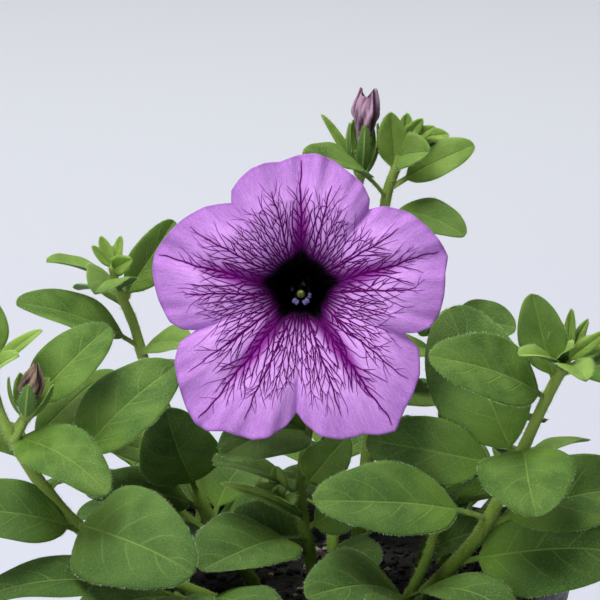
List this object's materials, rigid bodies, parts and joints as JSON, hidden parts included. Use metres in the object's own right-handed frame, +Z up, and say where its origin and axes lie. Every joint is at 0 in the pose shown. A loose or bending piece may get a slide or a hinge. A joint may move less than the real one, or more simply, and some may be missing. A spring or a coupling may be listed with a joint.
{
  "type": "potted petunia",
  "caption": "Potted petunia: leafy, hairy shoots and a violet, dark-veined trumpet flower grow from soil in a round black nursery pot that stands on its flat base.",
  "frame": {"origin": "centre of the pot's flat underside", "axes": "+Z up along the pot's axis; the open flower faces -Y, and +X is to the right of someone who looks at it"},
  "size_m": [0.1694, 0.1565, 0.2041],
  "materials": {
    "pot_plastic": "matte",
    "soil": "matte",
    "foliage": "matte",
    "petal": "satin",
    "stamen": "matte",
    "pistil": "satin",
    "faded_mauve": "matte",
    "faded_brown": "matte"
  },
  "bodies": {
    "root": {"pot": "pot_plastic", "soil": "soil", "shoot_front_right": "foliage", "shoot_front_left": "foliage", "shoot_left": "foliage", "shoot_top": "foliage", "shoot_right": "foliage", "shoot_centre": "foliage", "shoot_low_left": "foliage", "shoot_low_right": "foliage", "shoot_back_left": "foliage", "shoot_back_right": "foliage", "shoot_back": "foliage", "corolla": "petal", "stamens": "stamen", "pistil": "pistil", "faded_flower_top": "faded_mauve", "faded_flower_left": "faded_brown"}
  },
  "joints": []
}
